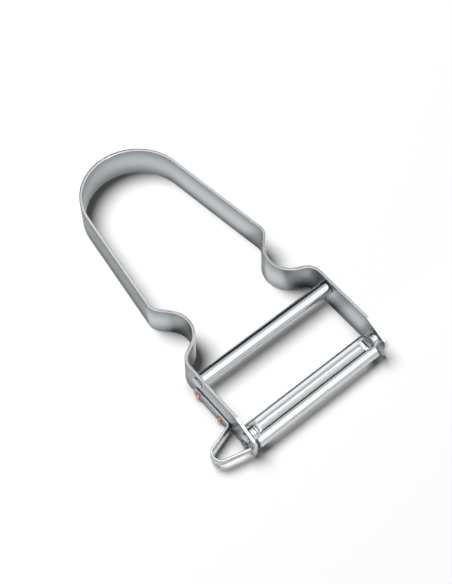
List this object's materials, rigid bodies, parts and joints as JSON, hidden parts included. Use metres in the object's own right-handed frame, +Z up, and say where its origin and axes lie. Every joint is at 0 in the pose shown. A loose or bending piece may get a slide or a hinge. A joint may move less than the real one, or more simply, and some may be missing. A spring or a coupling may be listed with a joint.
{
  "type": "vegetable peeler",
  "caption": "Horseshoe vegetable peeler: a bent steel strip handle with a crossbar, a swivelling slotted blade between its arms and a riveted side loop that cuts out potato eyes.",
  "frame": {"origin": "middle of the underside of the peeler's box, on the surface that it lies on", "axes": "+Y from the blade towards the top of the handle loop, +Z up from the surface, +X towards the arm without the eye loop"},
  "size_m": [0.0648, 0.109, 0.012],
  "materials": {
    "strip_steel": "satin",
    "bar_steel": "polished",
    "blade_steel": "polished",
    "eye_steel": "satin",
    "rivet_copper": "satin",
    "pin_steel": "satin"
  },
  "bodies": {
    "frame": {"handle_strip": "strip_steel", "crossbar": "bar_steel", "eye_remover": "eye_steel", "rivet_front": "rivet_copper", "rivet_rear": "rivet_copper", "stop_pin_left": "pin_steel", "stop_pin_right": "pin_steel"},
    "blade": {"blade": "blade_steel"}
  },
  "joints": [
    {"name": "blade_swivel", "type": "hinge", "parent": "frame", "child": "blade", "pos_m": [0.00495, -0.0502, 0.007], "axis": [-1, 0, 0], "range_deg": [-30, 40]}
  ]
}
